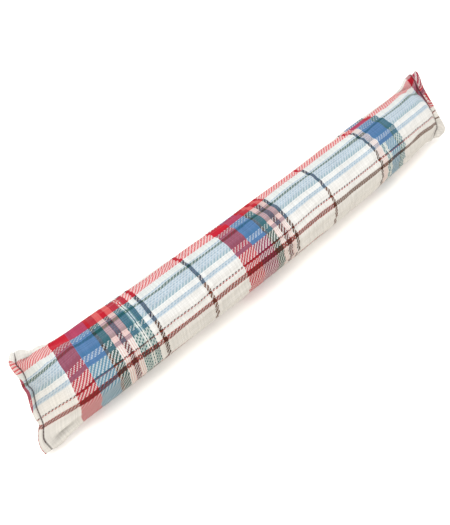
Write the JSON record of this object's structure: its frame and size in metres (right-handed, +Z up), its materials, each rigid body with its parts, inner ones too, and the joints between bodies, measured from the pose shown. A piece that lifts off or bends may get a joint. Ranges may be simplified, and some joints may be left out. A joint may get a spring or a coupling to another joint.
{
  "type": "draught excluder",
  "caption": "Long filled cloth tube with a flat sewn seam and turned margin at each end, laid along the foot of a door to stop draughts.",
  "frame": {"origin": "middle of the tube's box in plan, on the level of its flat resting strip", "axes": "+X along the tube, +Y across it towards the back, +Z up from the resting strip"},
  "size_m": [0.9298, 0.132, 0.1056],
  "materials": {
    "cover_cloth": "woven twill, matt"
  },
  "bodies": {
    "root": {"filled_tube": "cover_cloth"}
  },
  "joints": []
}
